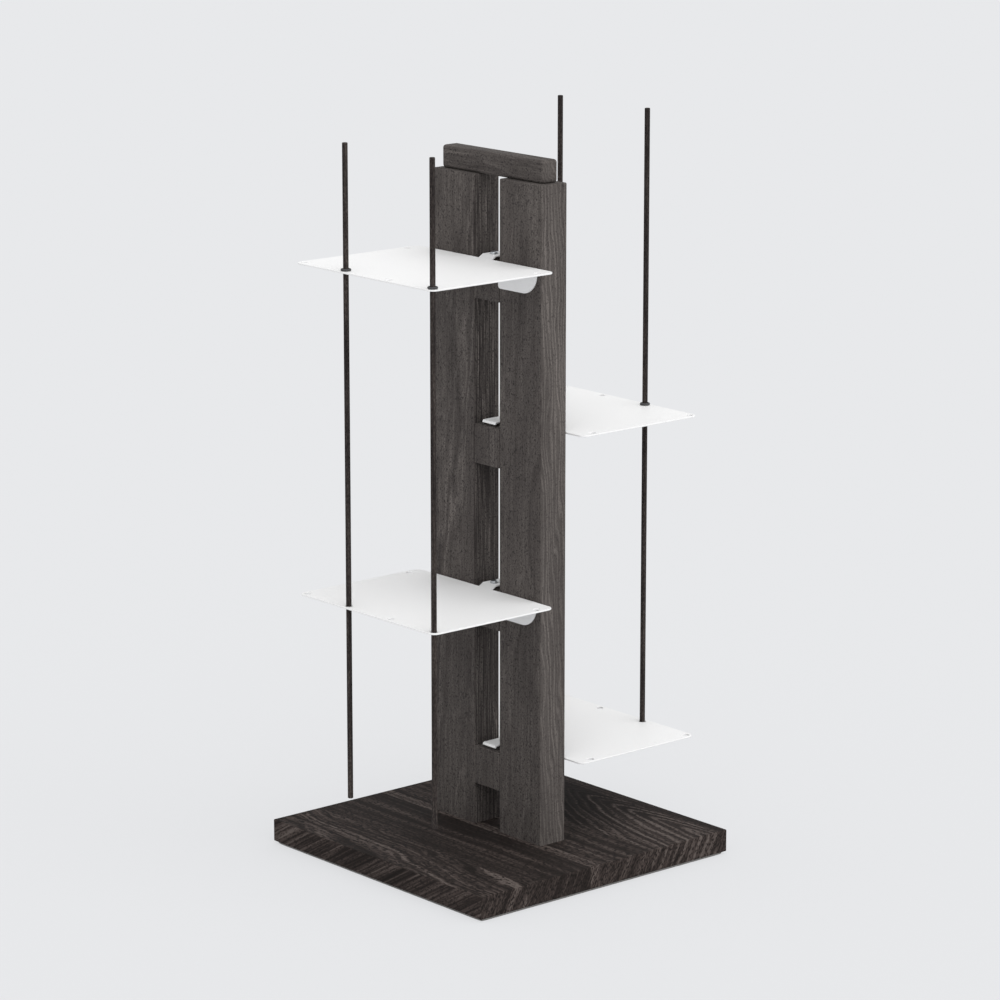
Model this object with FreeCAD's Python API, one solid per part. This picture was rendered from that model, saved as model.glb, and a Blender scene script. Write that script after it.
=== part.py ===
"""Spine bookshelf: a free-standing split column with steel shelves plugged into its slot.

Two stained posts stand side by side on a square base board. Wooden blocks bridge the slot
between them, one under each shelf. A shelf is a bent steel sheet: its tongue lies on a raised
land on the block and hooks over it with a folded lip, and its two flanges bear on the posts.
A bar across the post tops closes the slot. Thin wooden rods hang in the shelves' holes by
rubber rings and keep the books in.

Axes: +X along the column's width, the shelves stand out towards -Y (front) and +Y (back),
+Z up. The origin is on the floor, under the middle of the base. All sizes are millimetres.
"""
import FreeCAD, Part
import math
import os

V = FreeCAD.Vector
X_AXIS, Y_AXIS, Z_AXIS = V(1, 0, 0), V(0, 1, 0), V(0, 0, 1)
ORIGIN = V(0, 0, 0)

# ---- base ----
base_side = 300.0
base_thickness = 21.0
base_edge_radius = 0.8
felt_thickness = 2.5
felt_inset = 2.0

# ---- column: two posts, the slot between them and the bar on top ----
column_width = 150.0
column_depth = 30.0
slot_width = 35.0
post_length = 611.0
post_edge_radius = 1.2
bar_length = 139.0
bar_width = 18.0
bar_height = 21.0
bar_edge_radius = 3.0

# ---- shelves: one bent sheet, used four times ----
sheet_thickness = 1.5
first_shelf_top = 101.2
shelf_pitch = 153.0
shelf_sides = (+1, -1, +1, -1)          # from the lowest up: +1 at the back, -1 at the front
shelf_width = 192.0
shelf_inner_edge = 17.0                 # distance of the plate's near edge from the column's middle
shelf_outer_edge = 159.0
shelf_corner_radius = 7.0
flange_inner_end = 17.4
flange_outer_end = 69.7
flange_drop = 25.0
flange_outer_radius = 19.0
flange_inner_radius = 3.0
tongue_width = 18.0
tongue_tip_gap = 2.5                    # the tip stops this far inside the column's far face
tongue_rise = 3.0                       # the tongue lies this much higher than the plate
tongue_slope_length = 5.0               # it climbs over this length, from the plate's near edge
tongue_lip = 2.7                        # height of the lip folded down at the tip, over all
tongue_hole_room = 0.3                  # radial room of the screw in the tongue's hole

# ---- holes for the rods ----
hole_diameter = 6.5
hole_pitch = 60.0
holes_in_outer_row = 4
outer_hole_row = 153.0
inner_hole_row = 33.0                   # two more holes near the column, in line with the end ones

# ---- blocks under the tongues ----
block_height = 37.0
block_edge_radius = 1.0
land_width = 14.0                       # the raised land that carries the tongue, narrower than it
land_length = 21.0                      # the tongue's lip hooks over its end
land_edge_radius = 0.5

# ---- rods and rings ----
rod_diameter = 5.0
rod_length = 601.0
rod_end_chamfer = 0.4
front_rod_bottom = 73.4
back_rod_bottom = 83.6
ring_section = 2.2
ring_lift = 0.05                        # air between a ring and the shelf it hangs on

# ---- hidden fasteners ----
fit_gap = 0.05                          # radial room of a dowel or screw in its bore
drill_tip_ratio = 0.6                   # length of a drill's conical tip, against its radius
bore_end_room = 0.3                     # left between a bore's end and what is in it
dowel_diameter = 6.0
dowel_length = 30.0
dowel_chamfer = 0.6
dowel_in_block = 12.0                   # the rest of a dowel is in the post
dowel_rise = 8.0                        # a block's dowels lie this far above and below its middle
base_screw_diameter = 5.0
base_screw_length = 60.0
base_screw_head = 9.6
base_screw_spacing = 30.0
tongue_screw_diameter = 3.5
tongue_screw_length = 18.0
tongue_screw_head = 7.4
tongue_screw_head_height = 2.4
tongue_screw_head_round = 1.4
tongue_screw_offset = 6.0               # from the column's middle, towards the shelf
recess_width = 1.1
recess_arm = 2.4
recess_depth = 1.5
screw_point_length = 4.0

# ---- modelling values ----
overrun = 1.0                           # how far a cutter runs past the face that it opens
near = 0.01                             # places closer together than this are the same

# ---- derived places ----
base_top = felt_thickness + base_thickness
post_top = base_top + post_length
half_depth = column_depth / 2
post_centre = (slot_width + column_width) / 4
rod_radius = rod_diameter / 2
dowel_radius = dowel_diameter / 2
dowel_bore_radius = dowel_radius + fit_gap
base_screw_radius = base_screw_diameter / 2
tongue_screw_radius = tongue_screw_diameter / 2
shelf_tops = [first_shelf_top + level * shelf_pitch for level in range(len(shelf_sides))]
block_tops = [top - sheet_thickness for top in shelf_tops]
outer_hole_xs = [(i - (holes_in_outer_row - 1) / 2) * hole_pitch for i in range(holes_in_outer_row)]


# ================================ small helpers ================================

def box(x0, x1, y0, y1, z0, z1):
    """A block between two opposite corners."""
    return Part.makeBox(x1 - x0, y1 - y0, z1 - z0, V(x0, y0, z0))


def edges_along(shape, axis):
    """The straight edges of a shape that run along one axis."""
    found = []
    for edge in shape.Edges:
        ends = [v.Point for v in edge.Vertexes]
        if len(ends) == 2 and (ends[1] - ends[0]).cross(axis).Length < near:
            found.append(edge)
    return found


def fillet_at(shape, x, z, radius):
    """Round the one edge along Y that passes through a point in X and Z."""
    for edge in edges_along(shape, Y_AXIS):
        end = edge.Vertexes[0]
        if math.hypot(end.X - x, end.Z - z) < near:
            return shape.makeFillet(radius, [edge])
    raise ValueError(f"no edge at {x}, {z}")


def round_rims(shape):
    """The closed round edges of a turned piece."""
    return [edge for edge in shape.Edges if len(edge.Vertexes) == 1]


def bore(radius, depth, mouth, direction):
    """A drill's path, to be cut from a piece: full width for the depth, then its conical tip."""
    straight = Part.makeCylinder(radius, depth, mouth, direction)
    tip = Part.makeCone(radius, 0.0, radius * drill_tip_ratio, mouth + direction * depth, direction)
    return straight.fuse(tip).removeSplitter()


# ================================ dowels and screws ================================

def dowel(start, direction):
    """A wooden dowel with bevelled ends."""
    neck = dowel_radius - dowel_chamfer
    shoulder = dowel_length - dowel_chamfer
    profile = [V(0, 0, 0), V(neck, 0, 0), V(dowel_radius, 0, dowel_chamfer),
               V(dowel_radius, 0, shoulder), V(neck, 0, dowel_length), V(0, 0, dowel_length)]
    face = Part.Face(Part.makePolygon(profile + profile[:1]))
    pin = face.revolve(ORIGIN, Z_AXIS, 360)
    pin.Placement = FreeCAD.Placement(start, FreeCAD.Rotation(Z_AXIS, direction))
    return pin


def block_dowel_points():
    """Where each dowel crosses from a block into a post, on the slot's walls."""
    return [V(side * slot_width / 2, 0, top - block_height / 2 + rise)
            for top in block_tops for side in (-1, 1) for rise in (-dowel_rise, dowel_rise)]


def block_dowel(crossing):
    """A dowel that starts inside the block and ends in the post."""
    outwards = X_AXIS * math.copysign(1, crossing.x)
    return dowel(crossing - outwards * dowel_in_block, outwards)


def top_bar_dowel(side):
    """A dowel that starts inside the top bar and ends in the post."""
    return dowel(V(side * post_centre, 0, post_top + dowel_in_block), -Z_AXIS)


def cross_recess(top):
    """The cross cut in a screw's head, from its top down."""
    half = recess_width / 2
    bottom = top - recess_depth
    along_x = box(-recess_arm, recess_arm, -half, half, bottom, top + overrun)
    along_y = box(-half, half, -recess_arm, recess_arm, bottom, top + overrun)
    return along_x.fuse(along_y)


def screw_shank(radius, length):
    """A screw's round shank with a point, hanging down from z = 0."""
    straight = length - screw_point_length
    shank = Part.makeCylinder(radius, straight, V(0, 0, -straight))
    return shank.fuse(Part.makeCone(0.0, radius, screw_point_length, V(0, 0, -length)))


def base_screw_xs():
    """The base screws stand in one row, two under each post."""
    return [side * post_centre + shift * base_screw_spacing / 2
            for side in (-1, 1) for shift in (-1, 1)]


def base_screw(x):
    """A countersunk screw that comes up through the base into a post."""
    head_radius = base_screw_head / 2
    head_height = head_radius - base_screw_radius
    head = Part.makeCone(base_screw_radius, head_radius, head_height, V(0, 0, -head_height))
    screw = head.fuse(screw_shank(base_screw_radius, base_screw_length)).removeSplitter()
    screw = screw.cut(cross_recess(0.0))
    screw.rotate(ORIGIN, X_AXIS, 180)
    screw.translate(V(x, 0, felt_thickness))
    return screw


def tongue_screw(level):
    """The round-headed screw that holds a tongue down on its block."""
    head = Part.makeCylinder(tongue_screw_head / 2, tongue_screw_head_height)
    upper_rim = [edge for edge in round_rims(head) if edge.Vertexes[0].Z > near]
    head = head.makeFillet(tongue_screw_head_round, upper_rim)
    screw = head.fuse(screw_shank(tongue_screw_radius, tongue_screw_length)).removeSplitter()
    screw = screw.cut(cross_recess(tongue_screw_head_height))
    screw.translate(V(0, -tongue_screw_offset, tongue_rise))
    return at_level(screw, level)


# ================================ base and column ================================

def base_board():
    """The square base, countersunk from below for the posts' screws."""
    half = base_side / 2
    body = box(-half, half, -half, half, felt_thickness, base_top)
    body = body.makeFillet(base_edge_radius, body.Edges)
    hole_radius = base_screw_radius + fit_gap
    head_radius = base_screw_head / 2 + fit_gap
    for x in base_screw_xs():
        mouth = V(x, 0, felt_thickness)
        body = body.cut(Part.makeCylinder(hole_radius, base_thickness, mouth))
        body = body.cut(Part.makeCone(head_radius, hole_radius, head_radius - hole_radius, mouth))
    return body


def base_felt_sheet():
    """The felt glued under the base, set in a little from its edges."""
    half = base_side / 2 - felt_inset
    return box(-half, half, -half, half, 0.0, felt_thickness)


def post(side):
    """One post of the column; side is -1 for the left post and +1 for the right one."""
    x0, x1 = sorted((side * slot_width / 2, side * column_width / 2))
    body = box(x0, x1, -half_depth, half_depth, base_top, post_top)
    top_edges = [e for e in body.Edges if min(v.Z for v in e.Vertexes) > post_top - near]
    body = body.makeFillet(post_edge_radius, edges_along(body, Z_AXIS) + top_edges)
    depth = dowel_length - dowel_in_block + bore_end_room
    for crossing in block_dowel_points():
        if crossing.x * side > 0:
            body = body.cut(bore(dowel_bore_radius, depth, crossing, X_AXIS * side))
    body = body.cut(bore(dowel_bore_radius, depth, V(side * post_centre, 0, post_top), -Z_AXIS))
    depth = base_screw_length - base_thickness + bore_end_room
    for x in base_screw_xs():
        if x * side > 0:
            body = body.cut(bore(base_screw_radius + fit_gap, depth, V(x, 0, base_top), Z_AXIS))
    return body


def top_bar():
    """The bar across the posts' top ends."""
    x, y = bar_length / 2, bar_width / 2
    body = box(-x, x, -y, y, post_top, post_top + bar_height)
    body = body.makeFillet(bar_edge_radius, body.Edges)
    for side in (-1, 1):
        mouth = V(side * post_centre, 0, post_top)
        body = body.cut(bore(dowel_bore_radius, dowel_in_block + bore_end_room, mouth, Z_AXIS))
    return body


def tongue_block(level):
    """The block that bridges the slot under one shelf's tongue."""
    half = slot_width / 2
    top = block_tops[level]
    land_top = top + tongue_rise
    body = box(-half, half, -half_depth, half_depth, top - block_height, top)
    body = body.makeFillet(block_edge_radius, body.Edges)
    x, y = land_width / 2, land_length / 2
    land = box(-x, x, -y, y, top - overrun, land_top)
    top_edges = [e for e in land.Edges if min(v.Z for v in e.Vertexes) > land_top - near]
    land = land.makeFillet(land_edge_radius, top_edges)
    body = body.fuse(land).removeSplitter()
    for crossing in block_dowel_points():
        if top - block_height < crossing.z < top:
            inwards = X_AXIS * -math.copysign(1, crossing.x)
            body = body.cut(bore(dowel_bore_radius, dowel_in_block + bore_end_room, crossing, inwards))
    mouth = V(0, shelf_sides[level] * tongue_screw_offset, land_top)
    return body.cut(bore(tongue_screw_radius + fit_gap, tongue_screw_length, mouth, -Z_AXIS))


# ================================ shelves ================================
# A shelf is built with its top face at z = 0, standing out towards -Y.

def at_level(shape, level):
    """Lift a shelf's piece to its level, and turn it round if it belongs at the back."""
    placed = shape.copy()
    if shelf_sides[level] > 0:
        placed.rotate(ORIGIN, Z_AXIS, 180)
    placed.translate(V(0, 0, shelf_tops[level]))
    return placed


def plate():
    """The plate that carries the books, with its rod holes."""
    half = shelf_width / 2
    sheet = box(-half, half, -shelf_outer_edge, -shelf_inner_edge, -sheet_thickness, 0.0)
    sheet = sheet.makeFillet(shelf_corner_radius, edges_along(sheet, Z_AXIS))
    holes = [(x, outer_hole_row) for x in outer_hole_xs]
    holes += [(x, inner_hole_row) for x in (outer_hole_xs[0], outer_hole_xs[-1])]
    for x, row in holes:
        bottom = V(x, -row, -sheet_thickness - overrun)
        sheet = sheet.cut(Part.makeCylinder(hole_diameter / 2, sheet_thickness + 2 * overrun, bottom))
    return sheet


def flange():
    """The right flange, folded down from the plate's near edge with its bend."""
    x0, x1 = flange_inner_end, flange_outer_end
    bend_outside = shelf_inner_edge - half_depth
    bend_inside = bend_outside - sheet_thickness
    bend_centre = V(x0, -shelf_inner_edge, -bend_outside)

    def bend(radius, angle):
        return bend_centre + V(0, math.cos(angle), math.sin(angle)) * radius

    def bend_arc(radius):
        return Part.Arc(bend(radius, 0), bend(radius, math.pi / 4), bend(radius, math.pi / 2)).toShape()

    lower = V(0, 0, bend_outside - flange_drop)
    plate_end_top, plate_end_under = bend(bend_outside, math.pi / 2), bend(bend_inside, math.pi / 2)
    face_top, rear_top = bend(bend_outside, 0), bend(bend_inside, 0)
    section = [bend_arc(bend_outside), Part.makeLine(face_top, face_top + lower),
               Part.makeLine(face_top + lower, rear_top + lower), Part.makeLine(rear_top + lower, rear_top),
               bend_arc(bend_inside), Part.makeLine(plate_end_under, plate_end_top)]
    strip = Part.Face(Part.Wire(Part.__sortEdges__(section))).extrude(X_AXIS * (x1 - x0))

    outline = box(x0, x1, -shelf_inner_edge - overrun, -half_depth + overrun, -flange_drop, overrun)
    outline = fillet_at(outline, x0, -flange_drop, flange_inner_radius)
    outline = fillet_at(outline, x1, -flange_drop, flange_outer_radius)
    return strip.common(outline)


def tongue():
    """The tongue: it climbs to the land on the block, crosses it and ends in a lip folded down."""
    half = tongue_width / 2
    root, foot = -shelf_inner_edge - overrun, -shelf_inner_edge
    head = foot + tongue_slope_length
    tip = half_depth - tongue_tip_gap
    top, under = tongue_rise, tongue_rise - sheet_thickness
    lip_end = top - tongue_lip
    bend_outside = shelf_inner_edge - half_depth
    bend_inside = bend_outside - sheet_thickness
    bend_centre = V(-half, tip - bend_outside, top - bend_outside)
    # the slope's underside is shifted, so that the sheet keeps its thickness there
    shift = sheet_thickness * math.tan(math.atan2(tongue_rise, tongue_slope_length) / 2)

    def bend_arc(radius):
        places = [bend_centre + V(0, math.sin(angle), math.cos(angle)) * radius
                  for angle in (0, math.pi / 4, math.pi / 2)]
        return Part.Arc(*places).toShape()

    def corner(y, z):
        return V(-half, y, z)

    run = [corner(tip - bend_outside, top), corner(head, top), corner(foot, 0), corner(root, 0),
           corner(root, -sheet_thickness), corner(foot + shift, -sheet_thickness),
           corner(head + shift, under), corner(tip - bend_outside, under)]
    lip = [corner(tip - sheet_thickness, top - bend_outside), corner(tip - sheet_thickness, lip_end),
           corner(tip, lip_end), corner(tip, top - bend_outside)]
    lines = [Part.makeLine(a, b) for points in (run, lip) for a, b in zip(points, points[1:])]
    section = Part.Wire(Part.__sortEdges__(lines + [bend_arc(bend_outside), bend_arc(bend_inside)]))
    strip = Part.Face(section).extrude(X_AXIS * tongue_width)
    hole_bottom = V(0, -tongue_screw_offset, under - overrun)
    hole_length = sheet_thickness + 2 * overrun
    return strip.cut(Part.makeCylinder(tongue_screw_radius + tongue_hole_room, hole_length, hole_bottom))


def shelf(level):
    """One bent steel shelf."""
    right = flange()
    left = right.mirror(ORIGIN, X_AXIS)
    body = plate().fuse([right, left, tongue()]).removeSplitter()
    return at_level(body, level)


# ================================ rods and rings ================================

def rod(x, y, bottom):
    """A round wooden rod with bevelled ends."""
    body = Part.makeCylinder(rod_radius, rod_length, V(x, y, bottom))
    return body.makeChamfer(rod_end_chamfer, round_rims(body))


def ring(x, y, shelf_top):
    """The rubber ring that grips a rod and rests on the shelf."""
    radius = ring_section / 2
    centre = V(x, y, shelf_top + radius + ring_lift)
    return Part.makeTorus(rod_radius + radius + fit_gap, radius, centre)


# ================================ writing the nodes ================================

def save(node, solids):
    """Write one node; several solids are kept apart in a compound."""
    for solid in solids:
        assert solid.isValid() and len(solid.Solids) == 1, node
    shape = solids[0] if len(solids) == 1 else Part.makeCompound(solids)
    shape.exportStep(f"parts/{node}.step")
    print(f"{node:20s} {len(solids):3d} solid(s) {sum(s.Volume for s in solids) / 1000:9.2f} cm3")


os.makedirs("parts", exist_ok=True)

save("base_board", [base_board()])
save("base_felt_sheet", [base_felt_sheet()])
save("post_left", [post(-1)])
save("post_right", [post(+1)])
save("top_bar", [top_bar()])
save("base_screws", [base_screw(x) for x in base_screw_xs()])
save("block_dowels", [block_dowel(crossing) for crossing in block_dowel_points()])
save("top_bar_dowels", [top_bar_dowel(side) for side in (-1, 1)])

for level, side in enumerate(shelf_sides):
    place = "back" if side > 0 else "front"
    save(f"shelf_{level + 1}_{place}", [shelf(level)])
    save(f"tongue_block_{level + 1}", [tongue_block(level)])
save("tongue_screws", [tongue_screw(level) for level in range(len(shelf_sides))])

# The front rods hang from the highest shelf and the back rods from the one below it. In each
# pair the rods stand two holes apart.
hanging_rods = {
    "front_left": (outer_hole_xs[1], -outer_hole_row, front_rod_bottom, shelf_tops[3]),
    "front_right": (outer_hole_xs[3], -outer_hole_row, front_rod_bottom, shelf_tops[3]),
    "back_left": (outer_hole_xs[0], outer_hole_row, back_rod_bottom, shelf_tops[2]),
    "back_right": (outer_hole_xs[2], outer_hole_row, back_rod_bottom, shelf_tops[2]),
}
for place, (x, y, bottom, shelf_top) in hanging_rods.items():
    save(f"rod_{place}", [rod(x, y, bottom)])
    save(f"ring_{place}", [ring(x, y, shelf_top)])
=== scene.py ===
# %% [markdown]
# # A split-column bookshelf in stained wood and white steel
#
# The real object is a small book tower. Two dark stained posts stand on a square board with a slot
# between them, and four bent steel shelves plug into that slot, two to each side. Thin wooden rods
# hang through the shelves' holes on rubber rings and keep the books from sliding out.
#
# The lesson starts from an engineering model, whose pieces already have the right sizes and places.
# It could be rebuilt from nothing, but then every size would have to be found again. So it keeps
# that model as a fixed frame, gives each piece its finish, and remakes only the pieces whose real
# surface an engineering model leaves out: coated steel edges, turned rods, moulded rings, felt.

# %% Load the frame
import math

import bmesh
import bpy
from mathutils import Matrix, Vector, noise


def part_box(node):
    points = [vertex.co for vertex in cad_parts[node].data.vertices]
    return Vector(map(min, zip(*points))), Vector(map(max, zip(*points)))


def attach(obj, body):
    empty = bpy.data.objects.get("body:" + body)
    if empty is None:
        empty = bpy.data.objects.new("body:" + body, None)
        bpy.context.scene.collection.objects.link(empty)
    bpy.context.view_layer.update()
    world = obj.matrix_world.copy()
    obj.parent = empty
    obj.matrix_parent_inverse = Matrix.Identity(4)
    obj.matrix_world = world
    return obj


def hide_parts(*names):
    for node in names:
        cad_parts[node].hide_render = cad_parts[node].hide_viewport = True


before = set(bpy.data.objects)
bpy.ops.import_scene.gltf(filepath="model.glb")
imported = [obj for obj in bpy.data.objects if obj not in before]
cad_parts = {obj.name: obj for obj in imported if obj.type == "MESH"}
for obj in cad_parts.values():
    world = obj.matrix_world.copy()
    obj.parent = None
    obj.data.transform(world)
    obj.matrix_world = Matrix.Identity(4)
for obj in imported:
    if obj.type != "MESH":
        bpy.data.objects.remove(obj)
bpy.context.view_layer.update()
MM = 0.001

# %% [markdown]
# ## Colour and nodes
#
# Colours are written the way a paint chart gives them, as sRGB hex codes, but light adds up in
# linear values, so one function converts them. Node trees could be clicked together by hand or
# written out line by line; one helper that adds a node, sets it and links it keeps each tree
# readable as a recipe from top to bottom.

# %% Three helpers
def linear(code):
    """An sRGB hex colour as the linear RGBA that shaders mix with."""
    channels = [int(code[i:i + 2], 16) / 255 for i in (1, 3, 5)]
    return [c / 12.92 if c <= 0.04045 else ((c + 0.055) / 1.055) ** 2.4 for c in channels] + [1.0]


def add(tree, kind, inputs=None, stops=None, steps="LINEAR", **settings):
    """Add a node: set its properties, fill or link its inputs, and give a ramp its colour stops."""
    node = tree.nodes.new(kind)
    for name, value in settings.items():
        setattr(node, name, value)
    for key, value in (inputs or {}).items():
        if isinstance(value, bpy.types.Node):
            value = value.outputs[0]
        if isinstance(value, bpy.types.NodeSocket):
            tree.links.new(value, node.inputs[key])
        else:
            node.inputs[key].default_value = value
    if stops:
        node.color_ramp.interpolation = steps
        ramp = node.color_ramp.elements
        while len(ramp) < len(stops):
            ramp.new(1.0)
        for element, (position, colour) in zip(ramp, stops):
            element.position, element.color = position, colour
    return node


def new_material(name):
    """A material whose node tree is still empty, and that tree."""
    material = bpy.data.materials.new(name)
    material.use_nodes = True
    material.node_tree.nodes.clear()
    return material, material.node_tree


print("white in linear:", [round(c, 3) for c in linear("#ffffff")])

# %% [markdown]
# ## The camera
#
# A tall narrow object is best seen from a little above and past one corner, so that the slot, both
# pairs of shelves and the base all show. A long lens from a few metres away keeps the posts almost
# parallel. The camera is placed by an angle round the object, an angle above the horizon and a
# distance, because those three are easy to picture and to change one at a time.

# %% Place the camera
VIEW_AZIMUTH = math.radians(49.3)
VIEW_ELEVATION = math.radians(13.1)
VIEW_DISTANCE = 3.6557
LENS_MM = 143.7
AIM = Vector((0.0005, 0.0005, 0.3343))

towards_camera = Vector((math.sin(VIEW_AZIMUTH) * math.cos(VIEW_ELEVATION),
                         -math.cos(VIEW_AZIMUTH) * math.cos(VIEW_ELEVATION),
                         math.sin(VIEW_ELEVATION)))
camera = bpy.data.objects.new("camera", bpy.data.cameras.new("camera"))
camera.data.lens = LENS_MM
camera.location = AIM + towards_camera * VIEW_DISTANCE
camera.rotation_euler = towards_camera.to_track_quat("Z", "Y").to_euler()
bpy.context.scene.collection.objects.link(camera)
bpy.context.scene.camera = camera
bpy.context.scene.view_settings.view_transform = "Standard"
print("camera stands at", [round(c, 3) for c in camera.location])

# %% [markdown]
# ## The studio
#
# A product studio is a pale floor that runs on without an edge, light from everywhere, and one
# broad lamp to one side that gives the faces different tones. Area lamps would make the floor
# fade with distance, so the lamp here is a sun with a wide soft disc, which lights the whole floor
# alike.
#
# The floor is like a table of milky glass that is lit from below: most of what the eye sees of it
# is an even glow, and only a trace of the object's shadow is left. The Light Path node tells the
# eye's rays from the rays that carry light, so this glow and the backdrop behind the floor add no
# light to the object.

# %% Floor, sky and lamp
FLOOR_COLOUR = linear("#d2d3d5")
BACKDROP_COLOUR = linear("#e7e8ea")
FLOOR_GLOW = 0.75  # the share of the floor's look that glows; the rest is paper, which takes the shadow
FLOOR_HALF_SIDE = 60.0
SKY_STRENGTH = 0.93
LAMP_STRENGTH = 1.45
LAMP_WIDTH = math.radians(80)
LAMP_DIRECTION = Vector((0.42, -0.03, 0.50))


def looked_at(tree):
    """One for what the eye sees, also by reflection or through glass, and zero for what lights the object."""
    path = add(tree, "ShaderNodeLightPath")
    mirrored = add(tree, "ShaderNodeMath", {0: path.outputs["Is Glossy Ray"], 1: path.outputs["Is Transmission Ray"]},
                   operation="MAXIMUM")
    return add(tree, "ShaderNodeMath", {0: path.outputs["Is Camera Ray"], 1: mirrored}, operation="MAXIMUM")


def studio_floor():
    """One large plane of matt paper that catches the shadow, seen through an even glow."""
    mesh = bpy.data.meshes.new("floor")
    half = FLOOR_HALF_SIDE
    mesh.from_pydata([(-half, -half, 0), (half, -half, 0), (half, half, 0), (-half, half, 0)], [], [(0, 1, 2, 3)])
    material, tree = new_material("matt_paper_floor")
    paper = add(tree, "ShaderNodeBsdfDiffuse", {"Color": FLOOR_COLOUR})
    glow = add(tree, "ShaderNodeEmission", {"Color": BACKDROP_COLOUR, "Strength": 1.0})
    share = add(tree, "ShaderNodeMath", {0: looked_at(tree), 1: FLOOR_GLOW}, operation="MULTIPLY")
    lit = add(tree, "ShaderNodeMixShader", {0: share, 1: paper, 2: glow})
    add(tree, "ShaderNodeOutputMaterial", {"Surface": lit})
    mesh.materials.append(material)
    floor = bpy.data.objects.new("floor", mesh)
    bpy.context.scene.collection.objects.link(floor)


def studio_sky():
    """Even white light from all round, and a pale backdrop where the eye looks past the floor."""
    world = bpy.data.worlds.new("studio")
    world.use_nodes = True
    tree = world.node_tree
    tree.nodes.clear()
    light = add(tree, "ShaderNodeBackground", {"Color": linear("#ffffff"), "Strength": SKY_STRENGTH})
    backdrop = add(tree, "ShaderNodeBackground", {"Color": BACKDROP_COLOUR, "Strength": 1.0})
    both = add(tree, "ShaderNodeMixShader", {0: looked_at(tree), 1: light, 2: backdrop})
    add(tree, "ShaderNodeOutputWorld", {"Surface": both})
    bpy.context.scene.world = world


def studio_lamp():
    """A broad soft lamp to the right, above and a very little in front."""
    lamp = bpy.data.objects.new("broad_lamp", bpy.data.lights.new("broad_lamp", "SUN"))
    lamp.data.energy = LAMP_STRENGTH
    lamp.data.angle = LAMP_WIDTH
    lamp.rotation_euler = LAMP_DIRECTION.to_track_quat("Z", "Y").to_euler()
    bpy.context.scene.collection.objects.link(lamp)


studio_floor()
studio_sky()
studio_lamp()
print("studio ready, floor", 2 * FLOOR_HALF_SIDE, "m wide")

# %% [markdown]
# ## Reading wood as a solid
#
# The posts, the blocks, the bar, the base and the rods are open-pored hardwood under one dark
# stain. Three things show through such a stain: growth layers that took it differently, fine
# streaks along the fibre, and short open pores. A flat picture of wood would repeat and would not
# meet at the corners. Here the pattern is solid: it is worked out from the place in space, so a
# layer that leaves the top goes on down the edge, as in a sawn board.
#
# Everything is measured in millimetres, with the fibre along the pattern's own x axis. The cell
# below holds the patterns that all the woods share.

# %% Fibres, growth layers and rings
MM_PER_METRE = 1000.0
QUARTER_TURN = math.pi / 2
CREST_FROM = -0.2  # where on the wave, from -1 to 1, a yearly line begins


def piece_point(tree, turn=(0, 0, 0), start=(0, 0, 0)):
    """The point being shaded, in millimetres, with the piece's fibre turned along x."""
    place = add(tree, "ShaderNodeTexCoord").outputs["Object"]
    return add(tree, "ShaderNodeMapping", {"Vector": place, "Rotation": turn, "Location": start,
                                           "Scale": (MM_PER_METRE,) * 3})


def fibre_noise(tree, point, length, width, detail=1.0):
    """Noise drawn out along the fibre, in grains so many millimetres long and wide."""
    squeezed = add(tree, "ShaderNodeVectorMath", {0: point, 1: (1 / length, 1 / width, 1 / width)},
                   operation="MULTIPLY")
    return add(tree, "ShaderNodeTexNoise", {"Vector": squeezed, "Scale": 1.0, "Detail": detail})


def layer_bands(tree, depth, width):
    """Early and late wood: the depth through the growth layers, read through noise in one dimension."""
    counted = add(tree, "ShaderNodeMath", {0: depth, 1: width}, operation="DIVIDE")
    return add(tree, "ShaderNodeTexNoise", {"W": counted, "Scale": 1.0, "Detail": 1.5}, noise_dimensions="1D")


def yearly_lines(tree, depth, width):
    """Even rings, one for each year: a wave of the depth whose crests are narrow."""
    turns = add(tree, "ShaderNodeMath", {0: depth, 1: 2 * math.pi / width}, operation="MULTIPLY")
    wave = add(tree, "ShaderNodeMath", {0: turns}, operation="SINE")
    return add(tree, "ShaderNodeMapRange", {"Value": wave, "From Min": CREST_FROM, "To Max": 1.0})


def centred_sum(tree, parts, start=0.5):
    """A start value plus each part's distance from one half, times its weight."""
    total = start
    for part, weight in parts:
        centred = add(tree, "ShaderNodeMath", {0: part, 1: 0.5}, operation="SUBTRACT")
        total = add(tree, "ShaderNodeMath", {0: centred, 1: weight, 2: total}, operation="MULTIPLY_ADD")
    return total


print("wood patterns: fibre noise, layer bands, yearly lines")

# %% [markdown]
# ## One stain for every wood
#
# A wiped-on dark stain gathers in the open pores and leaves the dense late wood paler, and a thin
# dull varnish follows it into the pores. Each wood could get a shader of its own, but then they
# would drift apart. So every wood works out one number, its tone, and this cell turns the tone
# into colour, dullness and relief in the same way for all of them.

# %% The stained surface
STAIN_STOPS = (0.30, 0.46, 0.58, 0.74)  # the tones of a wood's four stain colours, dark to pale
PIT_RIM, PIT_FLOOR = 0.52, 0.80  # the pore noise where a pit begins, and where it is deepest
STAINED_WOOD_IOR = 1.5
WOOD_ROUGHNESS, PORE_ROUGHNESS = 0.95, 0.75
RELIEF_STRENGTH = 0.3
RELIEF_HEIGHT = 0.3 * MM


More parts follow.
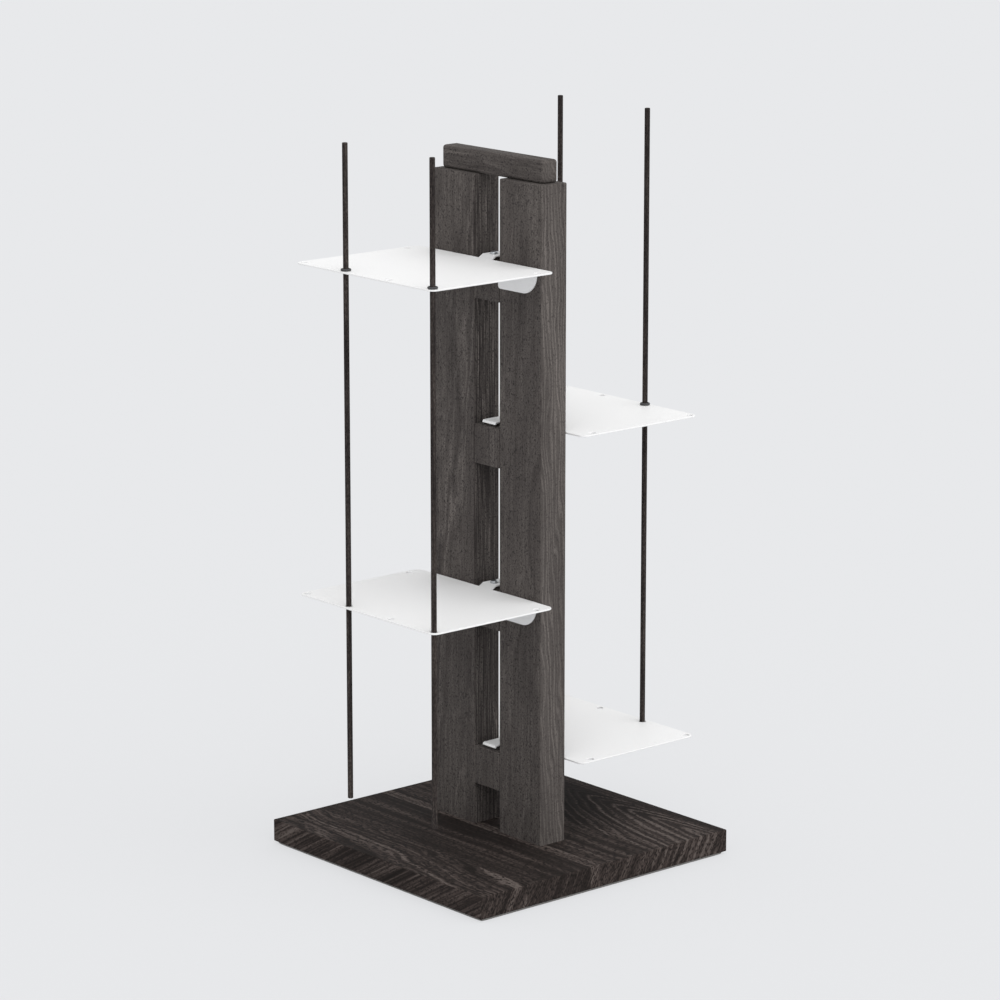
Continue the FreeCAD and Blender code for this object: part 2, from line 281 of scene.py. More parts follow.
def stain(tree, tone, pores, pit_depth, colours, shine):
    """The stained surface: darkest in the open pores, under a dull varnish that sinks into them."""
    pits = add(tree, "ShaderNodeMapRange", {"Value": pores, "From Min": PIT_RIM, "From Max": PIT_FLOOR})
    pits = add(tree, "ShaderNodeMath", {0: pits, 1: pit_depth}, operation="MULTIPLY")
    tone = add(tree, "ShaderNodeMath", {0: tone, 1: pits}, operation="SUBTRACT")
    stops = list(zip(STAIN_STOPS, (linear(code) for code in colours)))
    colour = add(tree, "ShaderNodeValToRGB", {"Fac": tone}, stops=stops)
    dullness = add(tree, "ShaderNodeMapRange", {"Value": pores, "From Min": 0.3, "From Max": 0.7,
                                                "To Min": WOOD_ROUGHNESS, "To Max": PORE_ROUGHNESS})
    relief = add(tree, "ShaderNodeBump", {"Height": tone, "Strength": RELIEF_STRENGTH, "Distance": RELIEF_HEIGHT})
    surface = add(tree, "ShaderNodeBsdfPrincipled", {"Base Color": colour, "Roughness": dullness, "Normal": relief,
                                                     "IOR": STAINED_WOOD_IOR, "Specular IOR Level": shine})
    add(tree, "ShaderNodeOutputMaterial", {"Surface": surface})


print("stain ready, with", len(STAIN_STOPS), "tones")

# %% [markdown]
# ## The column's wood
#
# Posts, blocks and bar are sawn so that their broad faces cut the layers at a flat angle and show
# wide calm streaks, while the narrow faces to the sides cut them squarely and show close wavy lines.
# One solid pattern gives both, because the layers lean. Only two things are added by the way a face
# looks, from its normal: the sides are drawn paler, partly as a lighter stain and partly as painted
# light from the lamp's side, and the slot's inner walls get the dark dashes that a rough cut leaves,
# on a tone darkened as painted shade.

# %% Stained oak for the column and the bar
COLUMN_STAIN = ("#2c2827", "#423d3b", "#55504d", "#78716d")
COLUMN_IN_LOG = (37.0, 11.0, 23.0)  # where in the endless solid the column is cut out, in mm
COLUMN_LAYERS = (0.05, 1.0, 0.35)  # the direction that crosses the growth layers
LAYER_SWAY = 20.0
OUTER_FROM = 0.065  # metres from the middle: a side face nearer than this is a wall of the slot
# The sides' lift is partly a paler stain and partly painted light from the lamp's side; the slot's drop is painted
# shade on its inner walls.
COLUMN_TONE, SIDE_STAIN_AND_PAINTED_LIGHT, SLOT_PAINTED_SHADE = 0.567, 0.028, -0.03  # the last two are added to the first
COLUMN_PITS, SIDE_PITS = 0.60, -0.30


def column_oak(name, turn):
    """Open-pored oak, planed and stained: calm and dark in front, with close pale lines and painted light on its
    sides, and painted shade in the slot.
    """
    material, tree = new_material(name)
    point = piece_point(tree, turn, COLUMN_IN_LOG)
    place = add(tree, "ShaderNodeTexCoord").outputs
    facing = add(tree, "ShaderNodeSeparateXYZ", {0: place["Normal"]}).outputs["X"]
    facing = add(tree, "ShaderNodeMath", {0: facing}, operation="ABSOLUTE")
    outward = add(tree, "ShaderNodeSeparateXYZ", {0: place["Object"]}).outputs["X"]
    outward = add(tree, "ShaderNodeMath", {0: outward}, operation="ABSOLUTE")
    outward = add(tree, "ShaderNodeMath", {0: outward, 1: OUTER_FROM}, operation="GREATER_THAN")

    sway = fibre_noise(tree, point, length=85, width=15, detail=2.0)
    across = add(tree, "ShaderNodeVectorMath", {0: point, 1: COLUMN_LAYERS}, operation="DOT_PRODUCT")
    depth = centred_sum(tree, [(sway, LAYER_SWAY)], across.outputs["Value"])
    bands = layer_bands(tree, depth, width=2.8)
    years = yearly_lines(tree, depth, width=4.0)
    streaks = fibre_noise(tree, point, length=60, width=1.5, detail=2.0)
    clouds = fibre_noise(tree, point, length=160, width=30)
    # Real pores are about a quarter of a millimetre wide. They are drawn coarser, so that they show.
    pores = fibre_noise(tree, point, length=2.0, width=1.2)

    # A pattern's weight says how far it moves the tone, and its sign which way.
    tone = centred_sum(tree, [(bands, 0.22), (streaks, 0.20), (pores, 0.48), (clouds, 0.20)], COLUMN_TONE)
    # Outer sides: pale lines on a tone lifted partly by paler stain and partly by painted light. Slot walls: dark
    # dashes on a tone lowered as painted shade.
    lines = centred_sum(tree, [(years, 0.085), (streaks, -0.10), (bands, -0.10), (pores, -0.20)], SIDE_STAIN_AND_PAINTED_LIGHT)
    slot_dashes_and_painted_shade = centred_sum(tree, [(streaks, 0.60)], SLOT_PAINTED_SHADE)
    sideways = add(tree, "ShaderNodeMix", {"Factor": outward, "A": slot_dashes_and_painted_shade, "B": lines}, data_type="FLOAT")
    tone = add(tree, "ShaderNodeMath", {0: facing, 1: sideways, 2: tone}, operation="MULTIPLY_ADD")
    on_side = add(tree, "ShaderNodeMath", {0: facing, 1: outward}, operation="MULTIPLY")
    pit_depth = add(tree, "ShaderNodeMath", {0: on_side, 1: SIDE_PITS, 2: COLUMN_PITS}, operation="MULTIPLY_ADD")
    stain(tree, tone, pores, pit_depth, COLUMN_STAIN, shine=0.2)
    return material


column_wood = column_oak("stained_oak_column", (0, QUARTER_TURN, 0))
bar_wood = column_oak("stained_oak_bar", (0, 0, 0))
print("column wood:", column_wood.name, "and", bar_wood.name)

# %% [markdown]
# ## The base's staves
#
# The base is glued edge to edge from staves, so its figure jumps at each joint: a calm dark stave
# lies beside a pale wavy one, and one has the arched figure of a board cut near the log's side.
# Each stave could be a mesh of its own, but the real board is one sanded piece. So a colour ramp
# with hard steps is used as a small table: it takes the place across the board and gives out that
# stave's tone, waviness and lean as red, green and blue, and its arch as alpha.

# %% The staves as a table
BOARD_SIDE = 300.0
OWN_NOISE = (971.0, 0.0, 613.0)  # how far apart in the noise two staves lie, in mm
STAVES = [  # where each stave starts across the board in mm, then its tone, waviness, lean and arch
    (-150.0, 0.62, 0.90, 0.62, 0.0),
    (-97.0, 0.55, 0.25, 0.50, 0.0),
    (-21.0, 0.69, 0.30, 0.50, 0.0),  # the pale sapwood edge of the stave before, not one of its own
    (-9.0, 0.60, 0.45, 0.52, 0.0),
    (55.0, 0.44, 0.40, 0.58, 1.0),
    (137.0, 0.56, 0.20, 0.48, 0.0),
]


def stave_at(tree, point):
    """The table's values for the stave at a point, and the point moved to that stave's own noise."""
    across = add(tree, "ShaderNodeSeparateXYZ", {0: point}).outputs["Y"]
    row = add(tree, "ShaderNodeMath", {0: across, 1: 1 / BOARD_SIDE, 2: 0.5}, operation="MULTIPLY_ADD")
    table = add(tree, "ShaderNodeValToRGB", {"Fac": row}, steps="CONSTANT",
                stops=[(start / BOARD_SIDE + 0.5, row_values) for start, *row_values in STAVES])
    values = add(tree, "ShaderNodeSeparateColor", {0: table}).outputs
    own = add(tree, "ShaderNodeVectorMath", {0: table, 1: OWN_NOISE, 2: point}, operation="MULTIPLY_ADD")
    return {"tone": values["Red"], "waviness": values["Green"], "lean": values["Blue"],
            "arch": table.outputs["Alpha"], "own": own}


print("rows in the stave table:", len(STAVES))

# %% [markdown]
# ## The base's four sides
#
# The sides cut fibre and layers another way than the top does, and slanting strokes show there,
# close together. Each side could have a material of its own, but the board is one mesh with one
# finish. So a second table says what its ends, to the left and right, and its front and back add
# to each value of the top, and the normal tells which of them a point is on. The strokes are the
# same noises as on top, with their fibre turned to slant.

# %% What differs on the sides
FACES_THAT_WAY = 0.7  # a normal's part along an axis, from which a face counts as facing that way
END_STROKE = Vector((0.0, 0.47, 0.88))
FRONT_STROKE = Vector((0.865, 0.0, 0.50))
BY_FACE = {  # a value on the top, what the ends add to it, and what the front and back add
    "calm": (1.0, -0.35, -0.65),  # how boldly bands and arches show
    # The shade row is painted light: it draws the ends paler and the front and back darker than the top.
    "shade": (0.0, 0.02, -0.012),  # paler or darker as a whole
    "streak_scale": (1.0, 0.0, -0.40),  # below one, the streaks are larger
    "pore_scale": (1.0, 0.5, 0.5),  # above one, the pores are smaller
    "streak_tone": (0.28, 0.0, 0.60),
    "pore_tone": (-0.25, 0.0, 0.15),
    "pit_depth": (0.50, 0.0, -0.30),
}


def by_face(tree):
    """Which side of the board a point is on, and every value of the table there."""
    square = add(tree, "ShaderNodeTexCoord").outputs["Normal"]
    square = add(tree, "ShaderNodeVectorMath", {0: square}, operation="ABSOLUTE")
    square = add(tree, "ShaderNodeSeparateXYZ", {0: square}).outputs
    sides = [add(tree, "ShaderNodeMath", {0: square[axis], 1: FACES_THAT_WAY}, operation="GREATER_THAN")
             for axis in ("X", "Y")]
    face = {"at_end": sides[0], "at_front": sides[1]}
    for name, (value, *changes) in BY_FACE.items():
        for side, change in zip(sides, changes):
            if change:
                value = add(tree, "ShaderNodeMath", {0: side, 1: change, 2: value}, operation="MULTIPLY_ADD")
        face[name] = value
    return face


def along_strokes(tree, point, face):
    """The point, turned so that x runs along the fibre on top and along the strokes on the sides."""
    fibre = point
    for here, stroke in ((face["at_end"], END_STROKE), (face["at_front"], FRONT_STROKE)):
        turn = stroke.rotation_difference(Vector((1, 0, 0))).to_euler()
        slanting = add(tree, "ShaderNodeMapping", {"Vector": point, "Rotation": turn})
        fibre = add(tree, "ShaderNodeMix", {"Factor": here, "A": fibre, "B": slanting},
                    data_type="VECTOR").outputs["Result"]
    return fibre


print("values that differ by face:", ", ".join(BY_FACE))

# %% [markdown]
# ## The base's growth layers
#
# A log grows in layers, and a board shows where its face cuts them. What has to be known is how
# deep in the layers a point lies. Straight layers make that depth a plain slope across the board.
# Near the log's side the cut runs almost along a layer: a parabola added to the slope, and a fold
# that turns it back past the figure's middle, give the nested arches of such a stave. Rings could
# be drawn as noise alone, but only a depth keeps them evenly spaced and nested.

# %% Depth through the growth layers
LAYER_TILT = -0.53  # how much of the way down counts as a way through the layers
ARCH_CURVE = 0.0014  # the parabola: mm of depth for each square mm along the board
ARCH_AXIS = 124.0  # the middle of the arched figure, in mm across the board
ARCH_FOLD = 2.6  # how steeply the depth turns back past that middle
FOLD_SOFTNESS = 8.0
LONG_WAVE, SHORT_WAVE, STROKE_WAVE = 40.0, 8.0, 9.0
OWN_RINGS = 331.0  # how far apart in the layers two staves start


def board_depth(tree, point, fibre, stave, face):
    """How deep in the growth layers a point of the board lies, in millimetres."""
    axes = add(tree, "ShaderNodeSeparateXYZ", {0: point}).outputs
    lean = add(tree, "ShaderNodeMath", {0: stave["lean"], 1: 0.5}, operation="SUBTRACT")
    straight = add(tree, "ShaderNodeVectorMath", {0: point, 1: (0.0, 1.0, LAYER_TILT)}, operation="DOT_PRODUCT")
    depth = add(tree, "ShaderNodeMath", {0: lean, 1: axes["X"], 2: straight.outputs["Value"]},
                operation="MULTIPLY_ADD")

    far = add(tree, "ShaderNodeMath", {0: BOARD_SIDE / 2, 1: axes["X"]}, operation="SUBTRACT")
    far = add(tree, "ShaderNodeMath", {0: far, 1: 2.0}, operation="POWER")
    bend = add(tree, "ShaderNodeMath", {0: stave["arch"], 1: -ARCH_CURVE}, operation="MULTIPLY")
    depth = add(tree, "ShaderNodeMath", {0: far, 1: bend, 2: depth}, operation="MULTIPLY_ADD")
    past_axis = add(tree, "ShaderNodeMath", {0: axes["Y"], 1: ARCH_AXIS}, operation="SUBTRACT")
    past_axis = add(tree, "ShaderNodeMath", {0: past_axis, 1: 0.0, 2: FOLD_SOFTNESS}, operation="SMOOTH_MAX")
    folded = add(tree, "ShaderNodeMath", {0: stave["arch"], 1: face["at_end"]}, operation="SUBTRACT")
    folded = add(tree, "ShaderNodeMath", {0: folded, 1: 0.0}, operation="MAXIMUM")
    folded = add(tree, "ShaderNodeMath", {0: folded, 1: -ARCH_FOLD}, operation="MULTIPLY")
    depth = add(tree, "ShaderNodeMath", {0: past_axis, 1: folded, 2: depth}, operation="MULTIPLY_ADD")

    flat = add(tree, "ShaderNodeVectorMath", {0: stave["own"], 1: (1.0, 1.0, 0.0)}, operation="MULTIPLY")
    wave = centred_sum(tree, [(fibre_noise(tree, flat, length=130, width=30), LONG_WAVE),
                              (fibre_noise(tree, flat, length=36, width=11), SHORT_WAVE)], 0.0)
    depth = add(tree, "ShaderNodeMath", {0: wave, 1: stave["waviness"], 2: depth}, operation="MULTIPLY_ADD")

    across = add(tree, "ShaderNodeSeparateXYZ", {0: fibre}).outputs["Z"]
    across = centred_sum(tree, [(fibre_noise(tree, fibre, length=60, width=25), STROKE_WAVE)], across)
    depth = add(tree, "ShaderNodeMix", {"Factor": face["at_front"], "A": depth, "B": across}, data_type="FLOAT")
    return add(tree, "ShaderNodeMath", {0: stave["tone"], 1: OWN_RINGS, 2: depth}, operation="MULTIPLY_ADD")


print("arched figure folds", ARCH_AXIS, "mm from the board's middle")

# %% [markdown]
# ## The base's wood
#
# With staves, sides and layers at hand, the base's finish is a short sum. The bands between
# layers carry most of it, boldest on the wavy staves; the arched stave also goes from dark
# heartwood to pale sapwood and shows its yearly lines; streaks, pores and slow patches lie over
# everything. Then comes the same stain as on the column, only darker.

# %% Stained oak for the base
BASE_STAIN = ("#1b1715", "#2b2523", "#413936", "#5c5450")
HEARTWOOD_AT, SAPWOOD_AT = -45.0, 90.0  # mm along the board
PALER_PER_MM = 0.0018  # how fast the tone rises from heartwood to sapwood
BAND_LOW, BAND_HIGH = 0.30, 0.72  # the part of the noise that is stretched to full contrast
CALM_BANDS, WAVY_BANDS = 0.06, 0.30  # how boldly bands show at least, and what waviness adds


def base_oak(name):
    """Open-pored oak glued from staves and stained almost black: bold pale bands, arches and dark pores."""
    material, tree = new_material(name)
    point = piece_point(tree)
    stave, face = stave_at(tree, point), by_face(tree)
    fibre = along_strokes(tree, stave["own"], face)
    depth = board_depth(tree, point, fibre, stave, face)

    along = add(tree, "ShaderNodeSeparateXYZ", {0: point}).outputs["X"]
    along = add(tree, "ShaderNodeClamp", {"Value": along, "Min": HEARTWOOD_AT, "Max": SAPWOOD_AT})
    paler = add(tree, "ShaderNodeMath", {0: stave["arch"], 1: PALER_PER_MM}, operation="MULTIPLY")
    ground = add(tree, "ShaderNodeMath", {0: paler, 1: along, 2: stave["tone"]}, operation="MULTIPLY_ADD")
    bands = add(tree, "ShaderNodeMapRange", {"Value": layer_bands(tree, depth, width=8.0), "From Min": BAND_LOW,
                                             "From Max": BAND_HIGH, "To Min": -0.5, "To Max": 0.5})
    boldness = add(tree, "ShaderNodeMath", {0: stave["waviness"], 1: WAVY_BANDS, 2: CALM_BANDS},
                   operation="MULTIPLY_ADD")
    boldness = add(tree, "ShaderNodeMath", {0: boldness, 1: face["calm"]}, operation="MULTIPLY")
    ground = add(tree, "ShaderNodeMath", {0: bands, 1: boldness, 2: ground}, operation="MULTIPLY_ADD")
    # Painted light: the table's shade row makes the ends paler and the front and back darker.
    ground = add(tree, "ShaderNodeMath", {0: ground, 1: face["shade"]}, operation="ADD")

    arched = add(tree, "ShaderNodeMath", {0: stave["arch"], 1: face["calm"]}, operation="MULTIPLY")
    years = add(tree, "ShaderNodeMath", {0: yearly_lines(tree, depth, width=9.0), 1: arched}, operation="MULTIPLY")
    patches = fibre_noise(tree, fibre, length=150, width=20)
    stroked = add(tree, "ShaderNodeVectorMath", {0: fibre, "Scale": face["streak_scale"]}, operation="SCALE")
    streaks = fibre_noise(tree, stroked, length=80, width=1.5, detail=2.0)
    # As on the column, the pores are drawn coarser than real ones, so that they show.
    grained = add(tree, "ShaderNodeVectorMath", {0: fibre, "Scale": face["pore_scale"]}, operation="SCALE")
    pores = fibre_noise(tree, grained, length=4.5, width=1.7)

    tone = centred_sum(tree, [(years, 0.20), (streaks, face["streak_tone"]), (pores, face["pore_tone"]),
                              (patches, 0.25)], ground)
    stain(tree, tone, pores, face["pit_depth"], BASE_STAIN, shine=0.1)
    return material


base_wood = base_oak("stained_oak_base")
print("base wood:", base_wood.name, "with", len(base_wood.node_tree.nodes), "nodes")

# %% [markdown]
# ## The rods' wood
#
# A rod this thin is split from one straight-grained stick, so it has no wide figure: only streaks
# and pores, and the stain sits darker on it because a turned surface drinks more. The layers are
# left out, because on five millimetres none of them would be seen.

# %% Stained oak for the rods
ROD_STAIN = ("#181514", "#272221", "#37312e", "#504a46")
ROD_IN_LOG = (5.0, 71.0, 9.0)


def rod_oak(name):
    """Straight-grained oak, turned and stained almost black: fine streaks and pores, no pits."""
    material, tree = new_material(name)
    point = piece_point(tree, (0, QUARTER_TURN, 0), ROD_IN_LOG)
    streaks = fibre_noise(tree, point, length=40, width=1.2, detail=2.0)
    clouds = fibre_noise(tree, point, length=70, width=20)
    # Drawn coarser than real pores, so that they show on so thin a stick.
    pores = fibre_noise(tree, point, length=2.4, width=0.9)
    tone = centred_sum(tree, [(streaks, 0.5), (pores, 0.5), (clouds, 0.3)])
    stain(tree, tone, pores, 0.0, ROD_STAIN, shine=0.2)
    return material


rod_wood = rod_oak("stained_oak_rod")
print("rod wood:", rod_wood.name)

# %% [markdown]
# ## Powder coat on steel
#
# The shelves are coated by spraying polyester powder on the bare steel and baking it, which leaves
# a smooth matt skin with a faint ripple, the orange peel. Plain white would do at a distance, but
# close up the ripple is what tells a coat from paper: it softens every highlight a little.

# %% White powder coat
COAT_GREYS = ("#e6e6e6", "#e9e9e9")
RIPPLES_PER_MM, GRIT_PER_MM = 0.55, 2.2
COAT_ROUGHNESS = 0.52


def coated_white(name):
    """Polyester powder coat on steel: matt, with a faint orange peel that softens its highlights."""
    material, tree = new_material(name)
    point = piece_point(tree)
    ripple = add(tree, "ShaderNodeTexNoise", {"Vector": point, "Scale": RIPPLES_PER_MM, "Detail": 1.0})
    grit = add(tree, "ShaderNodeTexNoise", {"Vector": point, "Scale": GRIT_PER_MM, "Detail": 1.0})
    height = centred_sum(tree, [(ripple, 0.8), (grit, 0.2)])
    low, high = (linear(code) for code in COAT_GREYS)
    shade = add(tree, "ShaderNodeMix", {"Factor": grit, "A": low, "B": high}, data_type="RGBA").outputs["Result"]
    relief = add(tree, "ShaderNodeBump", {"Height": height, "Strength": 0.08, "Distance": 0.1 * MM})
    surface = add(tree, "ShaderNodeBsdfPrincipled", {"Base Color": shade, "Roughness": COAT_ROUGHNESS, "IOR": 1.5,
                                                     "Normal": relief})
    add(tree, "ShaderNodeOutputMaterial", {"Surface": surface})
    return material


white_coat = coated_white("powder_coated_steel_white")
print("coat:", white_coat.name)

# %% [markdown]
# ## Rubber, felt, zinc and beech
#
# The small pieces have simpler finishes, but none of them is one flat colour. They could have a
# tree each, yet they all do the same thing: two close colours in clouds of a real size, whose
# relief and dullness follow the clouds. So one recipe makes all four, and only its numbers differ.

# %% The other finishes
def cloudy(name, dark, pale, grain_mm, roughness, relief_mm, ior=1.5, metallic=0.0, stretch=(1, 1, 1)):
    """A simple finish: two close colours in fine clouds, whose relief and dullness follow the clouds."""
    material, tree = new_material(name)
    drawn = add(tree, "ShaderNodeVectorMath", {0: piece_point(tree), 1: stretch}, operation="MULTIPLY")
    clouds = add(tree, "ShaderNodeTexNoise", {"Vector": drawn, "Scale": 1 / grain_mm, "Detail": 4.0})
    colour = add(tree, "ShaderNodeValToRGB", {"Fac": clouds}, stops=[(0.35, linear(dark)), (0.65, linear(pale))])
    dullness = add(tree, "ShaderNodeMapRange", {"Value": clouds, "To Min": roughness - 0.1, "To Max": roughness + 0.1})
    relief = add(tree, "ShaderNodeBump", {"Height": clouds, "Strength": 0.5, "Distance": relief_mm * MM})
    surface = add(tree, "ShaderNodeBsdfPrincipled", {"Base Color": colour, "Roughness": dullness, "IOR": ior,
                                                     "Metallic": metallic, "Normal": relief})
    add(tree, "ShaderNodeOutputMaterial", {"Surface": surface})
    return material


# Nitrile rubber from a mould: near black and matt, greyed here and there by a little bloom.
rubber = cloudy("moulded_nitrile_rubber", dark="#2c2c2d", pale="#434344", grain_mm=0.8, roughness=0.6,
                relief_mm=0.02, ior=1.52)
# Pressed wool: a cloudy mid grey without any highlight. The fibres are drawn coarse enough to show.
felt = cloudy("pressed_wool_felt", dark="#787674", pale="#8e8c89", grain_mm=0.9, roughness=0.9,
              relief_mm=0.25, ior=1.54)
# Zinc plating: a pale, slightly blue metal whose crystals break up the shine.
zinc = cloudy("zinc_plated_steel", dark="#a9acaf", pale="#c3c6c8", grain_mm=1.2, roughness=0.35,
              relief_mm=0.01, metallic=1.0)
# Plain beech, planed and left bare: warm and pale, with small flecks drawn out one way.
beech = cloudy("plain_beech", dark="#b98b5c", pale="#d3aa7c", grain_mm=0.8, roughness=0.6,
               relief_mm=0.05, stretch=(1, 1, 0.15))
print("other finishes:", [m.name for m in (rubber, felt, zinc, beech)])

# %% [markdown]
# ## Dressing the machined pieces
#
# The board, posts, blocks, bar, dowels and screws come out of saws, routers and a lathe, so the
# engineering model already has their true shape, down to the sanded arrises. They could be copied
# and worked over, but nothing would be gained. They keep their meshes and get their finish.

# %% Finishes for the pieces that stay
STAYING = {"base_board": base_wood, "post_left": column_wood, "post_right": column_wood, "top_bar": bar_wood,
           "tongue_block_1": column_wood, "tongue_block_2": column_wood, "tongue_block_3": column_wood,
           "tongue_block_4": column_wood, "block_dowels": beech, "top_bar_dowels": beech,
           "base_screws": zinc, "tongue_screws": zinc}
for name, finish in STAYING.items():
    for material_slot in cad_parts[name].material_slots:
        material_slot.material = finish
print("dressed:", ", ".join(STAYING))

# %% [markdown]
# ## Coated sheet steel
#
# Each shelf is one piece of sheet, cut, folded down beside the slot and coated. Powder coat
# pulls back from a cut edge and rounds it, so a real edge catches a soft line of light that a
# sharp one does not. The sheet is copied from the engineering model, its loose triangles are
# merged, and a bevel rounds every edge that turns by more than a bend does.

# %% Round the shelves' edges
COAT_EDGE_RADIUS = 0.35 * MM
BEND_ANGLE = math.radians(35)
SAME_POINT = 0.001 * MM
SAME_PLANE = math.radians(1)


def as_plain_mesh(thing):
    """Apply everything that an object's modifiers do, and leave it as a plain mesh."""
    mesh = bpy.data.meshes.new_from_object(thing.evaluated_get(bpy.context.evaluated_depsgraph_get()))
    thing.modifiers.clear()
    thing.data = mesh


def coated_sheet(name, node_name):
    """A merged copy of an engineering piece with softly rounded edges."""
    mesh = bpy.data.meshes.new(name)
    shape = bmesh.new()
    shape.from_mesh(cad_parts[node_name].data)
    bmesh.ops.remove_doubles(shape, verts=shape.verts, dist=SAME_POINT)
    bmesh.ops.dissolve_limit(shape, angle_limit=SAME_PLANE, verts=shape.verts, edges=shape.edges,
                             delimit={"NORMAL"})
    shape.to_mesh(mesh)
    shape.free()
    mesh.shade_smooth()
    mesh.materials.append(white_coat)
    sheet = bpy.data.objects.new(name, mesh)
    bpy.context.scene.collection.objects.link(sheet)
    rounding = sheet.modifiers.new("rounding", "BEVEL")
    rounding.width = COAT_EDGE_RADIUS
    rounding.segments = 2
    rounding.limit_method = "ANGLE"
    rounding.angle_limit = BEND_ANGLE
    rounding.use_clamp_overlap = False
    flatness = sheet.modifiers.new("flatness", "WEIGHTED_NORMAL")
    flatness.weight = 100
    as_plain_mesh(sheet)
    return sheet


for level, side in enumerate(("back", "front", "back", "front"), start=1):
    node_name = f"shelf_{level}_{side}"
    shelf = coated_sheet(f"coated_{node_name}", node_name)
    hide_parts(node_name)
    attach(shelf, "bookshelf")
    print(shelf.name, len(shelf.data.polygons), "faces")

# %% [markdown]
# ## Growing pieces with geometry nodes
#
# Rods, rings and felt fibres each follow one rule, repeated. Placing them by hand would bury the
# rule in numbers. A geometry tree states it once, with its sizes as named inputs. One function
# opens such a tree, and another runs it on an object and keeps what it grew as a plain mesh.

# %% Open a tree, and run a tree
def geometry_recipe(name, inputs):
    """A geometry tree with named inputs, each (kind of socket, usual value), and one geometry output."""
    tree = bpy.data.node_groups.new(name, "GeometryNodeTree")
    tree.interface.new_socket("Geometry", in_out="OUTPUT", socket_type="NodeSocketGeometry")
    for label, (kind, value) in inputs.items():
        socket = tree.interface.new_socket(label, in_out="INPUT", socket_type="NodeSocket" + kind)
        if value is not None:
            socket.default_value = value
    return tree, add(tree, "NodeGroupInput").outputs


def grown(name, tree, finish, start_mesh=None, **sizes):
    """Run a geometry tree once, and keep the result as a plain mesh whose faces point outwards."""
    piece = bpy.data.objects.new(name, start_mesh or bpy.data.meshes.new(name))
    bpy.context.scene.collection.objects.link(piece)
    recipe = piece.modifiers.new("recipe", "NODES")
    recipe.node_group = tree
    wanted = {"Finish": finish, **{label.replace("_", " "): value for label, value in sizes.items()}}
    for socket in tree.interface.items_tree:
        if socket.name in wanted:
            recipe[socket.identifier] = wanted[socket.name]
    as_plain_mesh(piece)
    piece.data.shade_smooth()
    piece.data.set_sharp_from_angle(angle=BEND_ANGLE)
    shape = bmesh.new()
    shape.from_mesh(piece.data)
    bmesh.ops.recalc_face_normals(shape, faces=shape.faces)
    shape.to_mesh(piece.data)
    shape.free()
    return piece


print("geometry helpers ready")

# %% [markdown]
# ## The hanging rods
#
# Each rod is a straight stick whose ends are chamfered by a turn of sandpaper. A cylinder would
# have knife-sharp ends. Here a line of four points runs up the rod's middle, one chamfer apart
# at each end, a circle is swept along it, and the two end points draw the circle in a little.

# %% A rod as a swept circle
SPINE_POINTS = 4
SPINE_MIDDLE = (SPINE_POINTS - 1) / 2
ROD_SIDES = 24

rod_recipe, given = geometry_recipe("turned_rod", {
    "Foot": ("Vector", None), "Length": ("Float", 0.6), "Diameter": ("Float", 5 * MM),
    "Chamfer": ("Float", 0.4 * MM), "Finish": ("Material", None)})
step = add(rod_recipe, "ShaderNodeCombineXYZ", {"Z": given["Chamfer"]})
spine = add(rod_recipe, "GeometryNodeMeshLine", {"Count": SPINE_POINTS, "Start Location": given["Foot"],
                                                 "Offset": step})

# The upper half of the line moves up, until the rod has its whole length.
count = add(rod_recipe, "GeometryNodeInputIndex")
upper_half = add(rod_recipe, "ShaderNodeMath", {0: count, 1: SPINE_MIDDLE}, operation="GREATER_THAN")
reach = add(rod_recipe, "ShaderNodeMath", {0: given["Chamfer"], 1: 1.0 - SPINE_POINTS, 2: given["Length"]},
            operation="MULTIPLY_ADD")
lift = add(rod_recipe, "ShaderNodeMath", {0: upper_half, 1: reach}, operation="MULTIPLY")
lift = add(rod_recipe, "ShaderNodeCombineXYZ", {"Z": lift})
spine = add(rod_recipe, "GeometryNodeSetPosition", {"Geometry": spine, "Offset": lift})
spine = add(rod_recipe, "GeometryNodeMeshToCurve", {"Mesh": spine})

# The first and the last point are more than one step from the middle, and there the rod is thinner.
radius = add(rod_recipe, "ShaderNodeMath", {0: given["Diameter"], 1: 0.5}, operation="MULTIPLY")
from_middle = add(rod_recipe, "ShaderNodeMath", {0: count, 1: SPINE_MIDDLE}, operation="SUBTRACT")
from_middle = add(rod_recipe, "ShaderNodeMath", {0: from_middle}, operation="ABSOLUTE")
at_end = add(rod_recipe, "ShaderNodeMath", {0: from_middle, 1: 1.0}, operation="GREATER_THAN")
cut = add(rod_recipe, "ShaderNodeMath", {0: given["Chamfer"], 1: radius}, operation="DIVIDE")
cut = add(rod_recipe, "ShaderNodeMath", {0: at_end, 1: cut}, operation="MULTIPLY")
fullness = add(rod_recipe, "ShaderNodeMath", {0: 1.0, 1: cut}, operation="SUBTRACT")

outline = add(rod_recipe, "GeometryNodeCurvePrimitiveCircle", {"Resolution": ROD_SIDES, "Radius": radius})
stick = add(rod_recipe, "GeometryNodeCurveToMesh", {"Curve": spine, "Profile Curve": outline, "Scale": fullness,
                                                    "Fill Caps": True})
stick = add(rod_recipe, "GeometryNodeRealizeInstances", {"Geometry": stick})
stick = add(rod_recipe, "GeometryNodeSetMaterial", {"Geometry": stick, "Material": given["Finish"]})
add(rod_recipe, "NodeGroupOutput", {"Geometry": stick})
print("rod recipe:", len(rod_recipe.nodes), "nodes")

# %% [markdown]
# ## The rubber rings
#
# A rod would fall through its holes but for a tight rubber ring above the shelf. Such a ring is
# a moulded torus with a thin seam round its outside where the two halves of the mould met. The
# torus primitive has no seam, so a circle is swept round a hoop, and its outermost point is
# pulled out by a few hundredths of a millimetre first.

# %% A ring as a swept section
SECTION_SIDES = 20
HOOP_SIDES = 48

